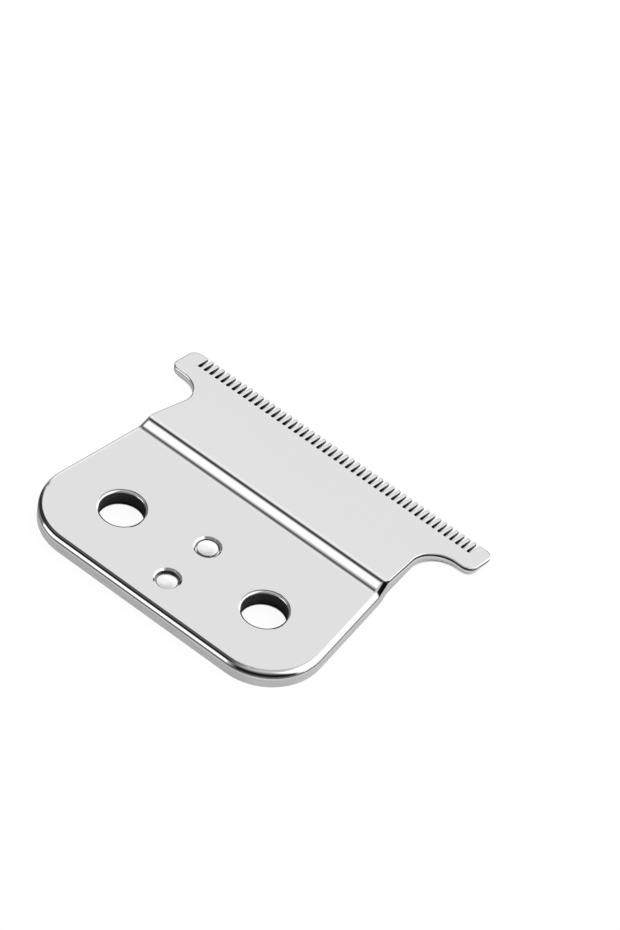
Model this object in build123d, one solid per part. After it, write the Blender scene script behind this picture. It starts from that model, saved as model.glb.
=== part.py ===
from build123d import *
import math
import os

os.makedirs("parts", exist_ok=True)

# Toothed edge, in mm
tooth_pitch = 0.765
slot_width = 0.40
slot_length = 1.90
slot_root_cut = 0.12
tooth_tip_cut = 0.1
tooth_thickness = 0.325
end_block_width = 1.87

# Plan outline, in mm and degrees
overall_length = 31.27
rear_half_width = 18.17
side_angle = 6.96
rear_corner_radius = 6.3
wing_overhang = 5.2
wing_depth = 4.10
wing_notch_radius = 3.0
wing_rear_radius = 1.1
wing_front_radius = 1.0

# Side section, in mm and degrees: a flat body, then a head bent up at a step and sloping down to the teeth
body_thickness = 2.0
head_length = 12.62
step_angle = 28.4
head_top_angle = 9.93
head_under_angle = 2.35
step_root_radius = 1.6
step_under_radius = 0.8
tip_under_height = 0.10

# Edge rounding, in mm
rim_radius = 0.55
crest_radius = 1.2
upper_edge_radius = 0.13
under_edge_cut = 0.1

# Screw holes, in mm
hole_diameter = 4.66
hole_spacing = 18.81
hole_from_rear = 7.66
hole_top_round = 0.34
hole_under_cut = 0.2

# Rivets, in mm: depths are below the body's upper face
rivet_radius = 1.27
rivet_hole_cut = 0.2
rivet_button_radius = 1.05
rivet_crown_radius = 6.0
front_rivet_from_rear = 9.88
rear_rivet_from_rear = 3.79
front_crown_depth = 0.05
rear_crown_depth = 0.35
rivet_groove_depth = 0.5

# Everything below follows from the figures above
rear_y = -overall_length / 2
front_y = overall_length / 2
side_slope = math.tan(math.radians(side_angle))
wing_y = front_y - wing_depth
neck_half_width = rear_half_width - side_slope * (wing_y - rear_y)
half_width = neck_half_width + wing_overhang
slot_count = round((2 * (half_width - end_block_width) - slot_width) / tooth_pitch) + 1
crest_y = front_y - head_length
tip_top_height = tip_under_height + tooth_thickness
crest_height = tip_top_height + head_length * math.tan(math.radians(head_top_angle))
step_slope = math.tan(math.radians(step_angle))
step_root_y = crest_y - (crest_height - body_thickness) / step_slope
ramp_top = 2 * body_thickness
tall = 3 * body_thickness
spare = 1.0
LOW_END = (Align.CENTER, Align.CENTER, Align.MIN)


def near(a, b):
    """Whether two lengths are the same."""
    return math.isclose(a, b, abs_tol=1e-3)


def vertices_at(section, y):
    """The corners of a section at one distance along the plate."""
    return [v for v in section.vertices() if near(v.X, y)]


def side_section():
    """The plate's side section on the YZ plane, with both sides of the step rounded."""
    under_root_y = step_root_y + body_thickness * math.tan(math.radians(step_angle / 2))
    under_slope = math.tan(math.radians(head_under_angle))
    under_rise = tip_under_height + under_slope * (front_y - under_root_y)
    under_crest_y = under_root_y + under_rise / (step_slope + under_slope)
    under_crest_height = (under_crest_y - under_root_y) * step_slope
    points = [
        (rear_y, 0),
        (under_root_y, 0),
        (under_crest_y, under_crest_height),
        (front_y, tip_under_height),
        (front_y, tip_top_height),
        (crest_y, crest_height),
        (step_root_y, body_thickness),
        (rear_y, body_thickness),
    ]
    section = make_face(Polyline(*points, close=True))
    bends = [
        (step_root_y, step_root_radius),
        (crest_y, crest_radius),
        (under_root_y, step_under_radius),
        (under_crest_y, step_under_radius),
    ]
    for bend_y, radius in bends:
        section = fillet(vertices_at(section, bend_y), radius)
    return section


def ramp_section():
    """The body and the step's slope carried straight on upwards, for the rounding of the body's rim."""
    ramp_y = step_root_y + (ramp_top - body_thickness) / step_slope
    points = [
        (rear_y, 0),
        (front_y, 0),
        (front_y, ramp_top),
        (ramp_y, ramp_top),
        (step_root_y, body_thickness),
        (rear_y, body_thickness),
    ]
    section = make_face(Polyline(*points, close=True))
    return fillet(vertices_at(section, step_root_y), step_root_radius)


def plan_outline():
    """The plate seen from above: tapered body, concave notches and the wide head with its two wings."""
    right = [
        (rear_half_width, rear_y),
        (neck_half_width, wing_y),
        (half_width, wing_y),
        (half_width, front_y),
    ]
    left = [(-x, y) for x, y in reversed(right)]
    outline = make_face(Polyline(*right, *left, close=True))
    radii = [rear_corner_radius, wing_notch_radius, wing_rear_radius, wing_front_radius]
    for (x, y), radius in zip(right, radii):
        corner = [v for v in outline.vertices() if near(abs(v.X), x) and near(v.Y, y)]
        outline = fillet(corner, radius)
    return outline


def swept_across(section):
    """A section carried across the plate and cut to the plan outline."""
    slab = extrude(Plane.YZ * section, amount=half_width + spare, both=True)
    return slab & extrude(plan_outline(), amount=tall)


def across_plate(edge):
    """Whether an edge crosses the plate along a bend, away from both ends."""
    box = edge.bounding_box()
    return near(box.size.Y, 0) and rear_y + spare < box.min.Y < wing_y - spare


def upright(edge):
    """Whether an edge is part of the side wall and joins the upper outline to the lower one."""
    box = edge.bounding_box()
    return near(box.size.X, 0) and near(box.size.Y, 0)


def middle_height(y):
    """A height between the upper and the lower face at a given Y."""
    if y < crest_y:
        return body_thickness / 2
    along = (front_y - y) / head_length
    return (tip_under_height + tip_top_height) / 2 + along * (crest_height - tip_top_height) / 2


def outline_edges(plate, upper):
    """The upper or the lower edges that run round the whole outline."""
    edges = [e for e in plate.edges() if not across_plate(e) and not upright(e)]
    return [e for e in edges if ((e @ 0.5).Z > middle_height((e @ 0.5).Y)) == upper]


def rim_edges(ramp):
    """The body's upper outer edges and the sides of the slope above it."""
    edges = []
    for edge in ramp.edges():
        low = edge.bounding_box().min.Z
        on_body_or_slope = near(low, body_thickness) or body_thickness < low < ramp_top - rim_radius
        if on_body_or_slope and not across_plate(edge):
            edges.append(edge)
    return edges


def plate_blank():
    """The bent plate with its rim and edges rounded, before any slot or hole."""
    plate = swept_across(side_section())
    plate = fillet(outline_edges(plate, upper=True), upper_edge_radius)
    plate = chamfer(outline_edges(plate, upper=False), under_edge_cut)
    ramp = swept_across(ramp_section())
    return plate & fillet(rim_edges(ramp), rim_radius)


def slot_cutter():
    """One slot: straight sides, a root with cut corners, and a mouth that cuts the tooth tips beside it."""
    half = slot_width / 2
    root_y = front_y - slot_length
    end_y = front_y + spare
    wide = half + tooth_tip_cut + spare
    right = [
        (half - slot_root_cut, root_y),
        (half, root_y + slot_root_cut),
        (half, front_y - tooth_tip_cut),
        (wide, end_y),
    ]
    left = [(-x, y) for x, y in reversed(right)]
    return extrude(make_face(Polyline(*right, *left, close=True)), amount=tall)


def rounded_hole(radius, top_round):
    """A straight hole through the body, as a cutter that rounds the upper rim."""
    cutter = Cylinder(radius, body_thickness, align=LOW_END)
    cutter += Pos(0, 0, body_thickness - top_round / 2) * Cylinder(radius + top_round, top_round)
    return cutter - Pos(0, 0, body_thickness - top_round) * Torus(radius + top_round, top_round)


def lower_rim_cut(radius, cut):
    """A cone that takes the sharp edge off a hole's lower rim."""
    return Cone(radius + cut, radius, cut, align=LOW_END)


def upper_rim_cut(radius, cut):
    """The same at a hole's upper rim."""
    return Pos(0, 0, body_thickness - cut) * Cone(radius, radius + cut, cut, align=LOW_END)


def blade_plate():
    """The fixed blade: stepped plate, rounded rim, toothed edge, two screw holes and two rivet holes."""
    plate = plate_blank()
    slot = slot_cutter()
    first = -(slot_count - 1) / 2 * tooth_pitch
    plate -= [Pos(first + i * tooth_pitch, 0) * slot for i in range(slot_count)]
    screw_hole = rounded_hole(hole_diameter / 2, hole_top_round)
    screw_hole += lower_rim_cut(hole_diameter / 2, hole_under_cut)
    for side in (-1, 1):
        plate -= Pos(side * hole_spacing / 2, rear_y + hole_from_rear) * screw_hole
    rivet_hole = Cylinder(rivet_radius, body_thickness, align=LOW_END)
    rivet_hole += upper_rim_cut(rivet_radius, rivet_hole_cut)
    for distance in (front_rivet_from_rear, rear_rivet_from_rear):
        plate -= Pos(0, rear_y + distance) * rivet_hole
    return plate


def rivet(distance, crown_depth):
    """A rivet that fills its hole from the underside, with a domed button inside a narrow groove."""
    top = body_thickness - crown_depth
    shoulder = top - rivet_groove_depth
    crown_centre = top - rivet_crown_radius
    edge_angle = math.degrees(math.acos(rivet_button_radius / rivet_crown_radius))
    edge_z = crown_centre + math.sqrt(rivet_crown_radius**2 - rivet_button_radius**2)
    points = [
        (0, top),
        (0, 0),
        (rivet_radius, 0),
        (rivet_radius, shoulder),
        (rivet_button_radius, shoulder),
        (rivet_button_radius, edge_z),
    ]
    outline = Polyline(*points)
    outline += CenterArc((0, crown_centre), rivet_crown_radius, edge_angle, 90 - edge_angle)
    return Pos(0, rear_y + distance) * revolve(Plane.XZ * make_face(outline), Axis.Z)


nodes = {
    "blade_plate": blade_plate(),
    "front_rivet": rivet(front_rivet_from_rear, front_crown_depth),
    "rear_rivet": rivet(rear_rivet_from_rear, rear_crown_depth),
}
for name, shape in nodes.items():
    export_step(shape, f"parts/{name}.step")
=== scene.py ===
import math

import bpy
from mathutils import Matrix, Vector

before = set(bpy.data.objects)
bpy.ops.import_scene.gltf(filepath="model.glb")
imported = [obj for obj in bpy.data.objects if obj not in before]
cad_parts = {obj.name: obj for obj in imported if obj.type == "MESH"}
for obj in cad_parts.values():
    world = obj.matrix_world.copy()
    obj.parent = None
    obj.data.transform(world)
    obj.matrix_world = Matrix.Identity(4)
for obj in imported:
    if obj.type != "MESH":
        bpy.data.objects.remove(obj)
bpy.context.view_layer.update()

MM = 0.001

# Camera, fitted to the teeth, the holes and the outline: millimetres and degrees
CAMERA_AZIMUTH = 33.141
CAMERA_ELEVATION = 45.66
CAMERA_ROLL = 9.655
CAMERA_DISTANCE = 485.3
CAMERA_TARGET = (-1.272, 12.010, 0.0)
CAMERA_LENS = 184.3
CAMERA_NEAR = 10.0
CAMERA_FAR = 20000.0
SENSOR_WIDTH = 36.0

# Floor: its half width and how far it lies below the underside, in millimetres, and its levels
FLOOR_HALF = 3000.0
FLOOR_DROP = 0.02
FLOOR_DIFFUSE = 0.13
FLOOR_GLOW = 0.93

# Painted shade on the floor in the narrow gaps, from an occlusion measure: its reach in millimetres, and
# the open shares at which it is dark or light
GAP_REACH = 1.2
GAP_DARK = 0.15
GAP_LIGHT = 0.36
GAP_SAMPLES = 16

# Brightness of the light above on the left, by degrees from straight up towards the front, and its limit
LIGHT_BANDS = [
    (-130, 0.35), (-108, 0.9), (-88, 0.9), (-77, 0.72), (-60, 0.34), (-52, 0.16),
    (-37, 0.06), (-24, 0.09), (-21, 1.18), (-14, 1.18), (-8, 0.82), (-3, 0.51),
    (1, 0.25), (6, 0.1), (12, 0.1), (17, 0.3), (22.7, 0.73), (28.4, 1.1),
    (34, 0.955), (42, 0.955), (46, 1.13), (54, 1.13), (58, 0.955),
]
BRIGHTEST = 2.0

# Every edge below gives a measure, the place of the edge and its width. What lies above the place is kept,
# or for a negative width what lies below it. An area is where all of its edges keep.

# The studio's edges: shares of a direction, or degrees over the top, around and above the horizon
BANDS_SIDE = ("x", -0.3, -0.06)
LIGHT_FRONT = ("over", 33, 8)
REAR_HALF = ("y", 0.0, -0.02)
REAR_GAP = [REAR_HALF, ("around", -108, 10), ("right lean", -4, -16), ("height", 56, -36)]
REAR_PANEL = [REAR_HALF, ("left lean", -154, 8), ("around", -111, -8), ("height", 23, -12)]
RIGHT_PANEL = [
    ("right lean", 2, 12),
    ("around", 100, -20),
    ("x", -0.15, 0.2),
    ("height", -18, 10),
    ("height", 68, -12),
]
HEAD_LIGHT = [("over", 44, 4), ("over", 55, -4), ("x", 0.1, -0.2)]
FAR_LEFT = [("turn", 150, 10), ("height", 46, -20)]
BACKDROP_FOOT = [("around", 95, 20), ("height", -2, -16)]
TABLE_EDGE = [("height", -33, -6)]
TABLE = ("height", -44, -2)
TABLE_RIGHT = ("x", 0.0, 0.6)

# Degrees that the sides of the areas lean, for each degree of height
RIGHT_LEAN = 0.45
LEFT_LEAN = -0.7

# Brightness of the studio: its plain light above, at the rear and the front, and its table, left and right
PLAIN_LEVELS = (0.55, 0.95)
TABLE_LEVELS = (0.8, 0.98)

# Areas and their brightness, each painted over the ones before it
STUDIO_AREAS = [
    (REAR_GAP, 0.3),
    (REAR_PANEL, 1.3),
    (RIGHT_PANEL, 1.16),
    (HEAD_LIGHT, 1.15),
    (FAR_LEFT, 0.19),
    (BACKDROP_FOOT, 0.18),
    (TABLE_EDGE, 0.25),
]

# Places on the blade, in millimetres
BODY_WALL_TOP = 1.45
RIM_FRONT = -11.2
STEP_START = 1.8
STEP_END = 3.0
FRONT = 15.635
HEAD_WALL_TOP_AT_FRONT = 0.295
HEAD_SLOPE = 0.175
HEAD_SIDE = 19.6
SLOT_START = 13.7
SLOT_SPAN = 18.45
HOLE_X = 9.405
HOLE_Y = -7.975
HOLE_REACH = 2.7

# A level direction towards the front and the left, and how far the corner's line leans with the tilt
AWAY_X = -0.55
AWAY_Y = 0.84
CORNER_LEAN = 59

# The steel's edges: places in millimetres, and shares of the way that a face points
UPWARDS = ("normal z", 0.0, 0.1)
SLOPING = ("flatness", 0.955, -0.04)
CUT_WALL = ("flatness", 0.125, -0.15)
RIGHT_HALF = ("x", 0, 4)
HEAD_PART = ("y", (STEP_START + STEP_END) / 2, STEP_END - STEP_START)
AHEAD_OF_STEP = ("y", STEP_END - 0.1, 0.2)
# The slots between the teeth, whose walls get painted shade, darkest towards the roots
SLOTS = [("y", SLOT_START, 0.02), ("side", SLOT_SPAN, -0.02)]
SLOT_MOUTH = ("y", SLOT_START + 1.1, 1.6)
IN_HOLE_RING = ("from hole", HOLE_REACH**2, -0.1)
OFF_HOLE_RING = ("from hole", HOLE_REACH**2, 0.1)
# Where the screw holes get painted shade: their walls, and the side of the rim that faces away
HOLE_WALL = ("normal z", 0.36, -0.2)
HOLE_AWAY_SIDE = ("away", 0.13, 0.06)
HOLE_UPPER_RIM = ("z", 1.6, 0.1)
HOLE_ABOVE_FOOT = ("z", 0.45, 0.5)

# Painted reflections: dark lines painted on the roundings, standing in for the mirrored dark gaps between a
# studio's panels
CREST_LINE = [("normal y", -0.27, 0.06), ("normal y", -0.07, -0.06), ("y", STEP_START + 0.4, 0.2)]
HOLE_LINE = [IN_HOLE_RING, ("normal z", 0.88, 0.06), ("normal z", 0.993, -0.008), ("away", -0.08, -0.06)]
RIM_LINE = [
    ("normal y", -0.2, -0.08),
    ("normal z", 0.6, 0.12),
    ("normal z", 0.97, -0.03),
    ("y", RIM_FRONT, -0.6),
    ("normal x", 0.12, -0.2),
]
CORNER_LINE = [
    ("normal turn", -84, 12),
    ("normal turn", -22, -10),
    ("normal lean", 0, -10),
    ("normal z", 0.66, -0.3),
    OFF_HOLE_RING,
]
# Painted shade on the end of the step that faces right
STEP_END_PAINTED_SHADE = [
    ("normal x", 0.38, 0.2),
    ("normal z", 0.08, 0.1),
    ("y", STEP_START, 0.3),
    ("y", STEP_END + 0.3, -0.3),
]
HEAD_SIDE_LINE = [("normal z", 0.62, -0.3), RIGHT_HALF, ("x", HEAD_SIDE, -1), AHEAD_OF_STEP]
HEAD_FAR_LINE = [("away", 0.2, 0.06), AHEAD_OF_STEP]

# Painted dark lines and their strength: reflections on the roundings, and shade at the step's end
PAINTED_DARK_LINES = [
    (CREST_LINE, 0.8),
    (HOLE_LINE, 0.66),
    (RIM_LINE, 0.91),
    (CORNER_LINE, 1.0),
    (STEP_END_PAINTED_SHADE, 1.0),
    (HEAD_SIDE_LINE, 1.0),
    (HEAD_FAR_LINE, 1.0),
]
LINE_LEVEL = 0.05
STEP_END_SHADE_LEVEL = 0.012

# Down a cut wall, in millimetres and levels, on the body and on the head: a painted dark line standing in
# for a reflection, then a painted highlight band
WALL_LINE_WIDTHS = (0.19, 0.13)
WALL_LINE_SOFTNESS = 0.08
WALL_LINE_DROP_ON_HEAD = 0.07
WALL_LINE_ON_BODY = 0.32
WALL_LINE_ON_HEAD = (0.8, 0.06)
WALL_PAINTED_HIGHLIGHT_LEVELS = (1.25, 1.4)
WALL_BAND_END = 0.4
WALL_BAND_SOFTNESS = 0.3

# Levels of the steel, from the low end of what they follow to its high end
GRAIN_LEVELS = (0.985, 1.015)
STREAK_LEVELS = (0.75, 1.25)
CLOUD_LEVELS = (0.93, 1.03)
# Painted highlight: the slopes and roundings are made brighter
SLOPE_PAINTED_HIGHLIGHT = (1.0, 1.27)
# Painted shade on the slot walls, darkest at the teeth's roots
SLOT_PAINTED_SHADE_LEVELS = (0.01, 0.5)
# Painted shade in the screw holes, darkest at the foot
HOLE_PAINTED_SHADE_LEVELS = (0.02, 0.13)
HOLE_FOOT_PAINTED_SHADE_LEVELS = (0.3, 1.0)
HOLE_RIM_STREAK = 0.5

# Noise on the steel: its stretch along each axis, its detail and its fineness
GRAIN = ((1.0, 4.0, 4.0), 3.0, 1600.0)
STREAKS = ((0.12, 0.12, 3.0), 2.0, 2600.0)
CLOUDS = ((1.0, 1.0, 1.0), 2.0, 900.0)

# Steel: colours, roughness, and the softness of its edges in millimetres
STEEL_COLOUR = (0.78, 0.78, 0.785)
WALL_COLOUR = (0.62, 0.62, 0.625)
RIVET_COLOUR = (0.97, 0.97, 0.97)
STEEL_ROUGHNESS = (0.09, 0.11)
WALL_ROUGHNESS = 0.3
RIVET_ROUGHNESS = 0.22
STEEL_SPECULAR = 0.5
EDGE_SOFTNESS = 0.05
TOOTH_EDGE_SOFTNESS = 0.12
EDGE_SAMPLES = 6


def millimetres(*values):
    """A point or a size given in millimetres, as a vector in metres."""
    return Vector(values) * MM


# Node helpers

def add_node(tree, kind, **settings):
    """A new node with the settings given by name."""
    node = tree.nodes.new(kind)
    for name, value in settings.items():
        setattr(node, name, value)
    return node


def feed(tree, socket, value):
    """Links an output to a socket, or sets the socket to a plain value."""
    if isinstance(value, bpy.types.NodeSocket):
        tree.links.new(value, socket)
    else:
        socket.default_value = value


def math_node(tree, operation, a, b=0.0, clamp=False):
    """The output of a Math node."""
    node = add_node(tree, "ShaderNodeMath", operation=operation, use_clamp=clamp)
    feed(tree, node.inputs[0], a)
    feed(tree, node.inputs[1], b)
    return node.outputs[0]


def product(tree, *parts):
    """The product of several values."""
    result = parts[0]
    for part in parts[1:]:
        result = math_node(tree, "MULTIPLY", result, part)
    return result


def largest(tree, *parts):
    """The largest of several values."""
    result = parts[0]
    for part in parts[1:]:
        result = math_node(tree, "MAXIMUM", result, part)
    return result


def opposite(tree, mask):
    """1 where a mask is 0, and 0 where it is 1."""
    return math_node(tree, "SUBTRACT", 1.0, mask)


def with_share(tree, value, other, share):
    """A value with a share of another one added."""
    return math_node(tree, "ADD", value, math_node(tree, "MULTIPLY", other, share))


def angle(tree, rise, run):
    """The angle in degrees of a slope, all the way round."""
    return math_node(tree, "DEGREES", math_node(tree, "ARCTAN2", rise, run))


def separated(tree, vector):
    """The three parts of a vector."""
    node = add_node(tree, "ShaderNodeSeparateXYZ")
    feed(tree, node.inputs[0], vector)
    return node.outputs


def smooth_step(tree, value, low, high):
    """0 below the lower bound and 1 above the upper one, with a smooth change between them."""
    node = add_node(tree, "ShaderNodeMapRange", interpolation_type="SMOOTHSTEP")
    feed(tree, node.inputs["Value"], value)
    node.inputs["From Min"].default_value = low
    node.inputs["From Max"].default_value = high
    return node.outputs["Result"]


def soft_edge(tree, value, place, width):
    """1 above a place and 0 below it, or the other way round for a negative width, with a soft change."""
    low = place - abs(width) / 2
    high = place + abs(width) / 2
    rise = smooth_step(tree, value, low, high)
    return rise if width > 0 else opposite(tree, rise)


def area(tree, measures, *edges):
    """1 where all the edges keep, and 0 elsewhere."""
    masks = [soft_edge(tree, measures[measure], place, width) for measure, place, width in edges]
    return product(tree, *masks)


def mixed(tree, factor, a, b):
    """Two numbers or two outputs mixed by a factor."""
    node = add_node(tree, "ShaderNodeMix", data_type="FLOAT")
    feed(tree, node.inputs[0], factor)
    feed(tree, node.inputs[2], a)
    feed(tree, node.inputs[3], b)
    return node.outputs[0]


def mixed_colour(tree, factor, a, b, blend="MIX"):
    """Two colours mixed by a factor."""
    node = add_node(tree, "ShaderNodeMix", data_type="RGBA", blend_type=blend)
    feed(tree, node.inputs[0], factor)
    feed(tree, node.inputs[6], a)
    feed(tree, node.inputs[7], b)
    return node.outputs[2]


def mixed_shader(tree, factor, a, b):
    """Two shaders mixed by a factor."""
    node = add_node(tree, "ShaderNodeMixShader")
    feed(tree, node.inputs[0], factor)
    tree.links.new(a, node.inputs[1])
    tree.links.new(b, node.inputs[2])
    return node.outputs[0]


def scaled_colour(tree, level, colour):
    """A colour scaled by a level."""
    return mixed_colour(tree, 1.0, (*colour, 1.0), level, blend="MULTIPLY")


def degree_curve(tree, degrees, stops, top):
    """Straight runs through the stops, as pairs of degrees (-180 to 180) and height (0 to top)."""
    node = add_node(tree, "ShaderNodeValToRGB")
    elements = node.color_ramp.elements
    while len(elements) < len(stops):
        elements.new(0.5)
    for element, (stop, height) in zip(elements, stops):
        element.position = (stop + 180) / 360
        level = height / top
        element.color = (level, level, level, 1.0)
    turn = math_node(tree, "MULTIPLY_ADD", degrees, 1 / 360)
    turn.node.inputs[2].default_value = 0.5
    feed(tree, node.inputs["Fac"], turn)
    return math_node(tree, "MULTIPLY", node.outputs["Color"], top)


# Studio

def studio_measures(tree, direction):
    """What the studio's edges measure in a direction: its shares and its angles in degrees."""
    x, y, z = separated(tree, direction)
    around = angle(tree, y, x)
    height = math_node(tree, "DEGREES", math_node(tree, "ARCSINE", z))
    return {
        "x": x,
        "y": y,
        "over": angle(tree, y, z),
        "around": around,
        "turn": math_node(tree, "ABSOLUTE", around),
        "height": height,
        "right lean": with_share(tree, around, height, RIGHT_LEAN),
        "left lean": with_share(tree, around, height, LEFT_LEAN),
    }


def studio_light(tree, direction):
    """How bright the studio is in each direction: white panels with dark gaps between them."""
    sky = studio_measures(tree, direction)
    plain = mixed(tree, area(tree, sky, LIGHT_FRONT), *PLAIN_LEVELS)
    bands = degree_curve(tree, sky["over"], LIGHT_BANDS, BRIGHTEST)
    level = mixed(tree, area(tree, sky, BANDS_SIDE), plain, bands)
    for edges, brightness in STUDIO_AREAS:
        level = mixed(tree, area(tree, sky, *edges), level, brightness)
    table = mixed(tree, area(tree, sky, TABLE_RIGHT), *TABLE_LEVELS)
    return mixed(tree, area(tree, sky, TABLE), level, table)


def studio():
    """The world: the studio in reflections, and plain white behind the object."""
    world = bpy.data.worlds.new("studio")
    bpy.context.scene.world = world
    world.use_nodes = True
    tree = world.node_tree
    tree.nodes.clear()
    place = add_node(tree, "ShaderNodeTexCoord")
    level = studio_light(tree, place.outputs["Generated"])
    path = add_node(tree, "ShaderNodeLightPath")
    level = mixed(tree, path.outputs["Is Camera Ray"], level, 1.0)
    light = add_node(tree, "ShaderNodeBackground")
    light.inputs["Color"].default_value = (1.0, 1.0, 1.0, 1.0)
    feed(tree, light.inputs["Strength"], level)
    output = add_node(tree, "ShaderNodeOutputWorld")
    tree.links.new(light.outputs[0], output.inputs["Surface"])


def new_material(name):
    """An empty node material with its output node."""
    material = bpy.data.materials.new(name)
    material.use_nodes = True
    tree = material.node_tree
    tree.nodes.clear()
    return material, tree, add_node(tree, "ShaderNodeOutputMaterial")


def floor_surface(tree, path):
    """White where it is seen, with painted shade, taken from an occlusion measure, in the narrow gaps under
    the head and the teeth.
    """
    near = add_node(tree, "ShaderNodeAmbientOcclusion", samples=GAP_SAMPLES)
    near.inputs["Distance"].default_value = GAP_REACH * MM
    open_part = smooth_step(tree, near.outputs["AO"], GAP_DARK, GAP_LIGHT)
    seen = math_node(tree, "ADD", path.outputs["Is Camera Ray"], path.outputs["Is Glossy Ray"], clamp=True)
    seen = math_node(tree, "ADD", seen, path.outputs["Is Transmission Ray"], clamp=True)
    paint = add_node(tree, "ShaderNodeBsdfDiffuse")
    feed(tree, paint.inputs["Color"], product(tree, open_part, FLOOR_DIFFUSE))
    glow = add_node(tree, "ShaderNodeEmission")
    feed(tree, glow.inputs["Strength"], product(tree, open_part, FLOOR_GLOW, seen))
    surface = add_node(tree, "ShaderNodeAddShader")
    tree.links.new(paint.outputs[0], surface.inputs[0])
    tree.links.new(glow.outputs[0], surface.inputs[1])
    return surface.outputs[0]


def floor_material():
    """A white floor that takes a faint shadow, and is clear from below and to the steel's reflections."""
    material, tree, output = new_material("floor_white")
    path = add_node(tree, "ShaderNodeLightPath")
    face = add_node(tree, "ShaderNodeNewGeometry")
    surface = floor_surface(tree, path)
    clear = add_node(tree, "ShaderNodeBsdfTransparent")
    hidden = largest(tree, path.outputs["Is Glossy Ray"], face.outputs["Backfacing"])
    tree.links.new(mixed_shader(tree, hidden, surface, clear.outputs[0]), output.inputs["Surface"])
    return material


def floor():
    """A wide plain floor just below the plane of the body's underside."""
    half = FLOOR_HALF * MM
    low = -FLOOR_DROP * MM
    mesh = bpy.data.meshes.new("floor")
    corners = [(-half, -half, low), (half, -half, low), (half, half, low), (-half, half, low)]
    mesh.from_pydata(corners, [], [(0, 1, 2, 3)])
    piece = bpy.data.objects.new("floor", mesh)
    bpy.context.scene.collection.objects.link(piece)
    mesh.materials.append(floor_material())


def camera():
    """The photograph's camera."""
    azimuth, elevation, roll = (math.radians(a) for a in (CAMERA_AZIMUTH, CAMERA_ELEVATION, CAMERA_ROLL))
    back = Vector((
        math.sin(azimuth) * math.cos(elevation),
        -math.cos(azimuth) * math.cos(elevation),
        math.sin(elevation),
    ))
    level = Vector((math.cos(azimuth), math.sin(azimuth), 0))
    above = back.cross(level)
    right = math.cos(roll) * level + math.sin(roll) * above
    up = math.cos(roll) * above - math.sin(roll) * level
    data = bpy.data.cameras.new("camera")
    data.lens = CAMERA_LENS
    data.sensor_width = SENSOR_WIDTH
    data.clip_start = CAMERA_NEAR * MM
    data.clip_end = CAMERA_FAR * MM
    piece = bpy.data.objects.new("camera", data)
    bpy.context.scene.collection.objects.link(piece)
    turn = Matrix((right, up, back)).transposed().to_4x4()
    spot = millimetres(*CAMERA_TARGET) + back * CAMERA_DISTANCE * MM
    piece.matrix_world = Matrix.Translation(spot) @ turn
    bpy.context.scene.camera = piece


# Steel

def stretched_noise(tree, stretch, detail, fineness):
    """Noise in the part's own frame, stretched along each axis."""
    place = add_node(tree, "ShaderNodeTexCoord")
    mapping = add_node(tree, "ShaderNodeMapping")
    mapping.inputs["Scale"].default_value = stretch
    tree.links.new(place.outputs["Object"], mapping.inputs["Vector"])
    noise = add_node(tree, "ShaderNodeTexNoise")
    noise.inputs["Scale"].default_value = fineness
    noise.inputs["Detail"].default_value = detail
    tree.links.new(mapping.outputs[0], noise.inputs["Vector"])
    return noise.outputs["Fac"]


def softened_normal(tree, radius):
    """The surface's direction with its edges softened by a radius in metres."""
    node = add_node(tree, "ShaderNodeBevel", samples=EDGE_SAMPLES)
    feed(tree, node.inputs["Radius"], radius)
    return node.outputs[0]


def blade_measures(tree):
    """What the steel's edges measure: the place on the part in millimetres, and the way its face points."""
    place = add_node(tree, "ShaderNodeTexCoord")
    x, y, z = [math_node(tree, "DIVIDE", axis, MM) for axis in separated(tree, place.outputs["Object"])]
    face = add_node(tree, "ShaderNodeNewGeometry")
    normal = separated(tree, face.outputs["Normal"])
    side = math_node(tree, "ABSOLUTE", x)
    across = math_node(tree, "SUBTRACT", side, HOLE_X)
    along = math_node(tree, "SUBTRACT", y, HOLE_Y)
    turn = angle(tree, normal["Y"], normal["X"])
    return {
        "x": x,
        "y": y,
        "z": z,
        "side": side,
        "from hole": math_node(tree, "ADD", product(tree, across, across), product(tree, along, along)),
        "normal x": normal["X"],
        "normal y": normal["Y"],
        "normal z": normal["Z"],
        "flatness": math_node(tree, "ABSOLUTE", normal["Z"]),
        "normal turn": turn,
        "normal lean": with_share(tree, turn, normal["Z"], CORNER_LEAN),
        "away": with_share(tree, product(tree, normal["Y"], AWAY_Y), normal["X"], AWAY_X),
    }


def upper_level(tree, spot, grain, painted_step_shade):
    """The level of the polished faces: a painted highlight on slopes, and painted dark lines along the
    roundings, standing in for reflections, with painted shade at the step's end.
    """
    lines = [product(tree, area(tree, spot, *edges), strength) for edges, strength in PAINTED_DARK_LINES]
    lines = product(tree, largest(tree, *lines), area(tree, spot, UPWARDS))
    bright = product(
        tree,
        mixed(tree, grain, *GRAIN_LEVELS),
        mixed(tree, area(tree, spot, SLOPING), *SLOPE_PAINTED_HIGHLIGHT),
    )
    return mixed(tree, lines, bright, mixed(tree, painted_step_shade, LINE_LEVEL, STEP_END_SHADE_LEVEL))


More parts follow.
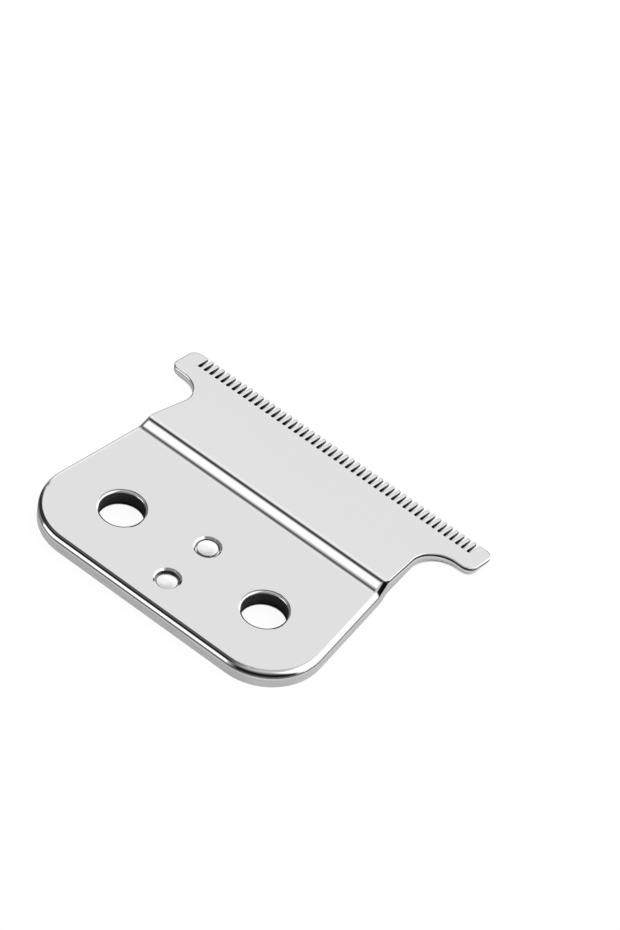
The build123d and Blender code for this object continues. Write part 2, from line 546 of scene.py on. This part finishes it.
def wall_line(tree, spot):
    """The level down a cut wall: a painted dark line below its upper edge, standing in for a reflection, a
    painted highlight band, then plain wall.
    """
    head = area(tree, spot, HEAD_PART)
    from_front = math_node(tree, "SUBTRACT", FRONT, spot["y"])
    head_top = with_share(tree, HEAD_WALL_TOP_AT_FRONT, from_front, HEAD_SLOPE)
    top = mixed(tree, head, BODY_WALL_TOP, head_top)
    depth = with_share(tree, math_node(tree, "SUBTRACT", top, spot["z"]), head, -WALL_LINE_DROP_ON_HEAD)
    head_line = mixed(tree, area(tree, spot, RIGHT_HALF), *WALL_LINE_ON_HEAD)
    line = mixed(tree, head, WALL_LINE_ON_BODY, head_line)
    band_end = soft_edge(tree, depth, WALL_BAND_END, WALL_BAND_SOFTNESS)
    below = mixed(tree, band_end, mixed(tree, head, *WALL_PAINTED_HIGHLIGHT_LEVELS), 1.0)
    below_line = math_node(tree, "SUBTRACT", depth, mixed(tree, head, *WALL_LINE_WIDTHS))
    return mixed(tree, soft_edge(tree, below_line, 0.0, WALL_LINE_SOFTNESS), line, below)


def wall_level(tree, spot, streaks, slots):
    """The level of the cut walls: streaky, with painted shade between the teeth."""
    wall = product(tree, mixed(tree, streaks, *STREAK_LEVELS), wall_line(tree, spot))
    return mixed(tree, slots, wall, mixed(tree, area(tree, spot, SLOT_MOUTH), *SLOT_PAINTED_SHADE_LEVELS))


def hole_level(tree, spot, streaks):
    """The level in the screw holes: painted shade, dark and streaky, plain on the rounded rim and darkest
    at the foot.
    """
    streaks = mixed(tree, area(tree, spot, HOLE_UPPER_RIM), streaks, HOLE_RIM_STREAK)
    foot = mixed(tree, area(tree, spot, HOLE_ABOVE_FOOT), *HOLE_FOOT_PAINTED_SHADE_LEVELS)
    return product(tree, mixed(tree, streaks, *HOLE_PAINTED_SHADE_LEVELS), foot)


def blade_steel():
    """Polished steel with a fine grain; its cut walls are rough and streaky. Painted shade darkens the
    holes and slots, and painted dark lines and highlights stand in for reflections.
    """
    material, tree, output = new_material("blade_steel")
    shader = add_node(tree, "ShaderNodeBsdfPrincipled")
    spot = blade_measures(tree)
    grain = stretched_noise(tree, *GRAIN)
    streaks = stretched_noise(tree, *STREAKS)
    painted_step_shade = area(tree, spot, *STEP_END_PAINTED_SHADE)
    slots = area(tree, spot, *SLOTS)
    wall = area(tree, spot, CUT_WALL)
    hole_side = largest(tree, area(tree, spot, HOLE_WALL), area(tree, spot, HOLE_AWAY_SIDE))
    hole = product(tree, area(tree, spot, IN_HOLE_RING), hole_side)

    upper_colour = scaled_colour(tree, upper_level(tree, spot, grain, painted_step_shade), STEEL_COLOUR)
    wall_colour = scaled_colour(tree, wall_level(tree, spot, streaks, slots), WALL_COLOUR)
    colour = mixed_colour(tree, wall, upper_colour, wall_colour)
    colour = mixed_colour(tree, hole, colour, hole_level(tree, spot, streaks))
    feed(tree, shader.inputs["Base Color"], colour)

    # Where shade is painted, the steel is made unpolished so that the painted dark shows
    painted_shade_matte = largest(tree, hole, product(tree, slots, wall), product(tree, painted_step_shade, opposite(tree, wall)))
    feed(tree, shader.inputs["Metallic"], opposite(tree, painted_shade_matte))
    feed(tree, shader.inputs["Specular IOR Level"], mixed(tree, painted_shade_matte, STEEL_SPECULAR, 0.0))
    roughness = mixed(tree, wall, mixed(tree, grain, *STEEL_ROUGHNESS), WALL_ROUGHNESS)
    feed(tree, shader.inputs["Roughness"], roughness)
    softness = mixed(tree, slots, EDGE_SOFTNESS * MM, TOOTH_EDGE_SOFTNESS * MM)
    feed(tree, shader.inputs["Normal"], softened_normal(tree, softness))
    tree.links.new(shader.outputs[0], output.inputs["Surface"])
    return material


def rivet_steel():
    """Bright satin steel with a soft grain."""
    material, tree, output = new_material("rivet_steel")
    shader = add_node(tree, "ShaderNodeBsdfPrincipled")
    shader.inputs["Metallic"].default_value = 1.0
    shader.inputs["Roughness"].default_value = RIVET_ROUGHNESS
    level = mixed(tree, stretched_noise(tree, *CLOUDS), *CLOUD_LEVELS)
    feed(tree, shader.inputs["Base Color"], scaled_colour(tree, level, RIVET_COLOUR))
    feed(tree, shader.inputs["Normal"], softened_normal(tree, EDGE_SOFTNESS * MM))
    tree.links.new(shader.outputs[0], output.inputs["Surface"])
    return material


def dress(node, material):
    """Gives a CAD node its material."""
    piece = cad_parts[node]
    piece.data.materials.clear()
    piece.data.materials.append(material)


bpy.context.scene.view_settings.view_transform = "Standard"
camera()
studio()
floor()
dress("blade_plate", blade_steel())
rivets = rivet_steel()
dress("front_rivet", rivets)
dress("rear_rivet", rivets)
